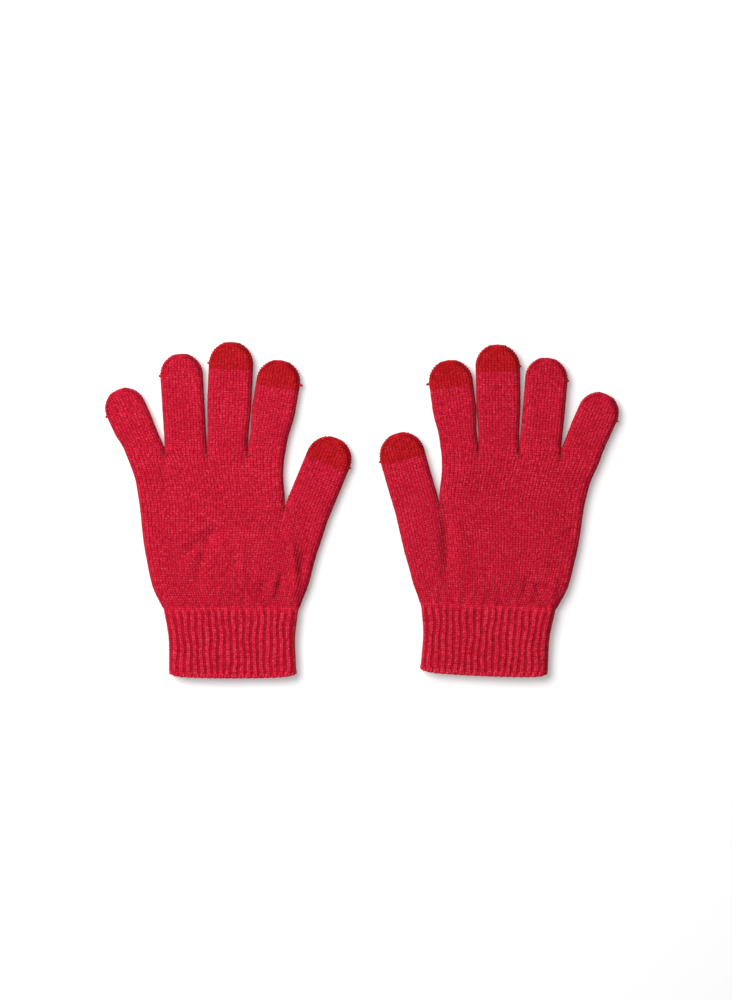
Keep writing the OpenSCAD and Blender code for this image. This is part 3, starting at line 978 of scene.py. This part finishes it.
def build_elastic(cuff, yarns):
    """Covered elastic threads laid round the inside of the cuff, where the CAD threads lie."""
    glove = cuff.glove
    node = glove.side + "_cuff_elastic"
    ys = node_points(node, glove.local)[:, 1]
    levels = []
    for y in np.sort(ys):
        if not levels or y - levels[-1][0] > 1.5 * MM:
            levels.append([y])
        levels[-1].append(y)
    lines = [round_line(cuff, 60, (min(level) + max(level)) / 2, THREAD_INSET) for level in levels]
    piece = strand_object(node + "_threads", [swept(line, THREAD_R, True) for line in lines])
    dress(piece, yarns["elastic"], node)
    wrist_fold(piece, glove)


# ---- Materials ----

class Nodes:
    """Short hand for building a material's nodes."""

    def __init__(self, name):
        self.material = bpy.data.materials.new(name)
        self.material.use_nodes = True
        self.tree = self.material.node_tree

    def plug(self, node, inputs):
        """Sets a node's inputs, to values or to other nodes' outputs."""
        for key, value in inputs.items():
            if isinstance(value, bpy.types.NodeSocket):
                self.tree.links.new(value, node.inputs[key])
            else:
                node.inputs[key].default_value = value

    def add(self, kind, inputs=None, **settings):
        node = self.tree.nodes.new(kind)
        for key, value in settings.items():
            setattr(node, key, value)
        self.plug(node, inputs or {})
        return node

    def math(self, operation, a, b=0.0):
        return self.add("ShaderNodeMath", {0: a, 1: b}, operation=operation).outputs[0]

    def blend(self, factor, a, b):
        mixer = self.add("ShaderNodeMix", {"Factor": factor, "A": a, "B": b}, data_type="RGBA")
        return mixer.outputs["Result"]

    def noise(self, place, scale, detail):
        inputs = {"Vector": place, "Scale": scale, "Detail": detail}
        return self.add("ShaderNodeTexNoise", inputs).outputs["Fac"]

    def ramp(self, *limits):
        """A value taken from one range (to 0 to 1, if no other is given) and kept in it."""
        return self.add("ShaderNodeMapRange", dict(enumerate(limits)), clamp=True).outputs[0]

    def finish(self, inputs):
        self.plug(self.tree.nodes["Principled BSDF"], inputs)
        return self.material


def knit_material(name, colour, pale, deep, heather_and_highlight, sheen):
    """Yarn: heathered fibres, lighter and darker stitches, painted shade in the grooves, a painted
    highlight on the stitch tops and a twisted, fuzzy ply.
    """
    n = Nodes(name)
    stitch = n.add("ShaderNodeAttribute", attribute_name="stitch").outputs["Vector"]
    depth = n.add("ShaderNodeAttribute", attribute_name="depth").outputs["Fac"]
    place = n.add("ShaderNodeTexCoord").outputs["Object"]
    column, row, seed = n.add("ShaderNodeSeparateXYZ", {0: stitch}).outputs
    leg = n.math("FLOOR", n.math("MULTIPLY", column, 2.0))
    cell = n.add("ShaderNodeCombineXYZ", {0: leg, 1: n.math("FLOOR", row), 2: seed}).outputs[0]
    each = n.add("ShaderNodeTexWhiteNoise", {"Vector": cell}, noise_dimensions="3D").outputs["Value"]
    drawn_out = n.add("ShaderNodeVectorMath", {0: stitch, 1: (9.0, 2.2, 1.0)}, operation="MULTIPLY")
    fibre = n.noise(drawn_out.outputs[0], 1.0, 3.0)
    fleck = n.noise(place, 900.0, 3.0)
    cloud = n.noise(place, 60.0, 1.0)
    # Lightness: half the stitch depth, which paints a highlight on the stitches' tops and shade in their
    # grooves, plus heather noise.
    light = n.math("MULTIPLY", depth, 0.5)
    for value, weight in ((fibre, 0.75), (fleck, 0.75), (each, 0.13), (cloud, 0.1)):
        light = n.math("ADD", light, n.math("MULTIPLY", n.math("SUBTRACT", value, 0.5), weight))
    # Pale where the lightness is high (heather flecks and the painted highlight), deep where it is low
    # (dark flecks and painted shade in the grooves).
    base = n.blend(n.math("MULTIPLY", n.ramp(light, 0.36, 0.86), heather_and_highlight), colour, pale)
    base = n.blend(n.ramp(light, 0.38, -0.05), base, deep)
    ply = n.math("SINE", n.math("MULTIPLY", n.math("ADD", row, column), 18.0))
    height = n.math("ADD", n.math("MULTIPLY", ply, 0.35), fibre)
    height = n.math("ADD", height, n.math("MULTIPLY", fleck, 0.8))
    bump = n.add("ShaderNodeBump", {"Height": height, "Strength": 0.55, "Distance": 0.12 * MM})
    return n.finish({
        "Base Color": base, "Normal": bump.outputs[0], "Roughness": n.ramp(light, 0.0, 0.8, 0.95, 0.8),
        "Specular IOR Level": 0.12, "Sheen Weight": sheen, "Sheen Roughness": 0.55,
        "Sheen Tint": (1.0, 0.35, 0.42, 1.0),
    })


def floor_material():
    n = Nodes("floor_paper")
    grain = n.noise(n.add("ShaderNodeTexCoord").outputs["Object"], 900.0, 2.0)
    base = n.blend(grain, (0.68, 0.68, 0.68, 1), (0.71, 0.71, 0.71, 1))
    return n.finish({"Base Color": base, "Emission Color": (1, 1, 1, 1), "Emission Strength": 0.22,
                     "Roughness": 0.9, "Specular IOR Level": 0.1})


# ---- Studio ----

def build_camera():
    """Straight above the gloves, with a long lens. Its frame is 640 mm high and 732:1000 wide."""
    view_height, lens, sensor = 0.640, 135.0, 36.0
    data = bpy.data.cameras.new("camera")
    data.lens, data.sensor_width = lens, sensor
    data.clip_end = 20
    o = add_object("camera", data)
    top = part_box("right_palm")[1].z
    o.location = (2.6 * MM, 6.7 * MM, top + view_height * lens / sensor)
    bpy.context.scene.camera = o


def add_area(name, place, size, power):
    """A square lamp that faces the gloves."""
    data = bpy.data.lights.new(name, "AREA")
    data.shape, data.size, data.energy = "SQUARE", size, power
    o = add_object(name, data)
    o.location = place
    o.rotation_euler = (-o.location).to_track_quat("-Z", "Y").to_euler()


def build_studio():
    mesh = bpy.data.meshes.new("floor")
    reach = 3.0
    corners = [(-reach, -reach, 0), (reach, -reach, 0), (reach, reach, 0), (-reach, reach, 0)]
    mesh.from_pydata(corners, [], [(0, 1, 2, 3)])
    floor = add_object("floor", mesh)
    floor.location.z = -0.05 * MM
    floor.data.materials.append(floor_material())
    add_area("key", (-0.72, 0.54, 1.25), 1.15, 36)
    add_area("fill", (0.75, -0.55, 1.6), 1.6, 4.5)
    world = bpy.data.worlds.new("studio")
    world.use_nodes = True
    background = world.node_tree.nodes["Background"]
    background.inputs["Color"].default_value = (1, 1, 1, 1)
    background.inputs["Strength"].default_value = 0.26
    bpy.context.scene.world = world
    bpy.context.scene.view_settings.view_transform = "Standard"


# ---- Everything ----

def build_glove(side, yarns):
    glove = Glove(side)
    fingers = [Finger(glove, name) for name in FINGERS]
    thumb = Finger(glove, "thumb")
    outline = Outline(glove, thumb)
    palm = Palm(glove, fingers, thumb, outline)
    cuff = Cuff(glove, palm, outline)
    build_palm(palm, yarns)
    build_darning(palm, yarns)
    build_cuff(cuff, yarns)
    build_cuff_edge(cuff, yarns)
    build_elastic(cuff, yarns)
    for f in fingers + [thumb]:
        build_finger(f, yarns)


def build_yarns():
    # pale and light_red serve as heather flecks and the painted highlight on stitch tops; deep and dark_red
    # as dark flecks and the painted shade in the grooves.
    crimson, pale, deep = (0.53, 0.003, 0.024, 1), (0.76, 0.14, 0.22, 1), (0.16, 0.001, 0.006, 1)
    red, light_red, dark_red = (0.45, 0.002, 0.0065, 1), (0.66, 0.08, 0.10, 1), (0.14, 0.001, 0.003, 1)
    return {
        **{k: knit_material(k + "_yarn", crimson, pale, deep, 0.75, 0.05) for k in ("body", "cuff")},
        "touch": knit_material("touch_yarn", red, light_red, dark_red, 0.7, 0.02),
        "sewing": knit_material("sewing_yarn", (0.36, 0.004, 0.015, 1), pale, deep, 0.5, 0.08),
        "elastic": knit_material("elastic_thread", (0.72, 0.55, 0.52, 1), (0.85, 0.8, 0.78, 1),
                                 (0.5, 0.3, 0.28, 1), 0.5, 0.1),
    }


build_camera()
build_studio()
yarns = build_yarns()
for side in ("right", "left"):
    build_glove(side, yarns)
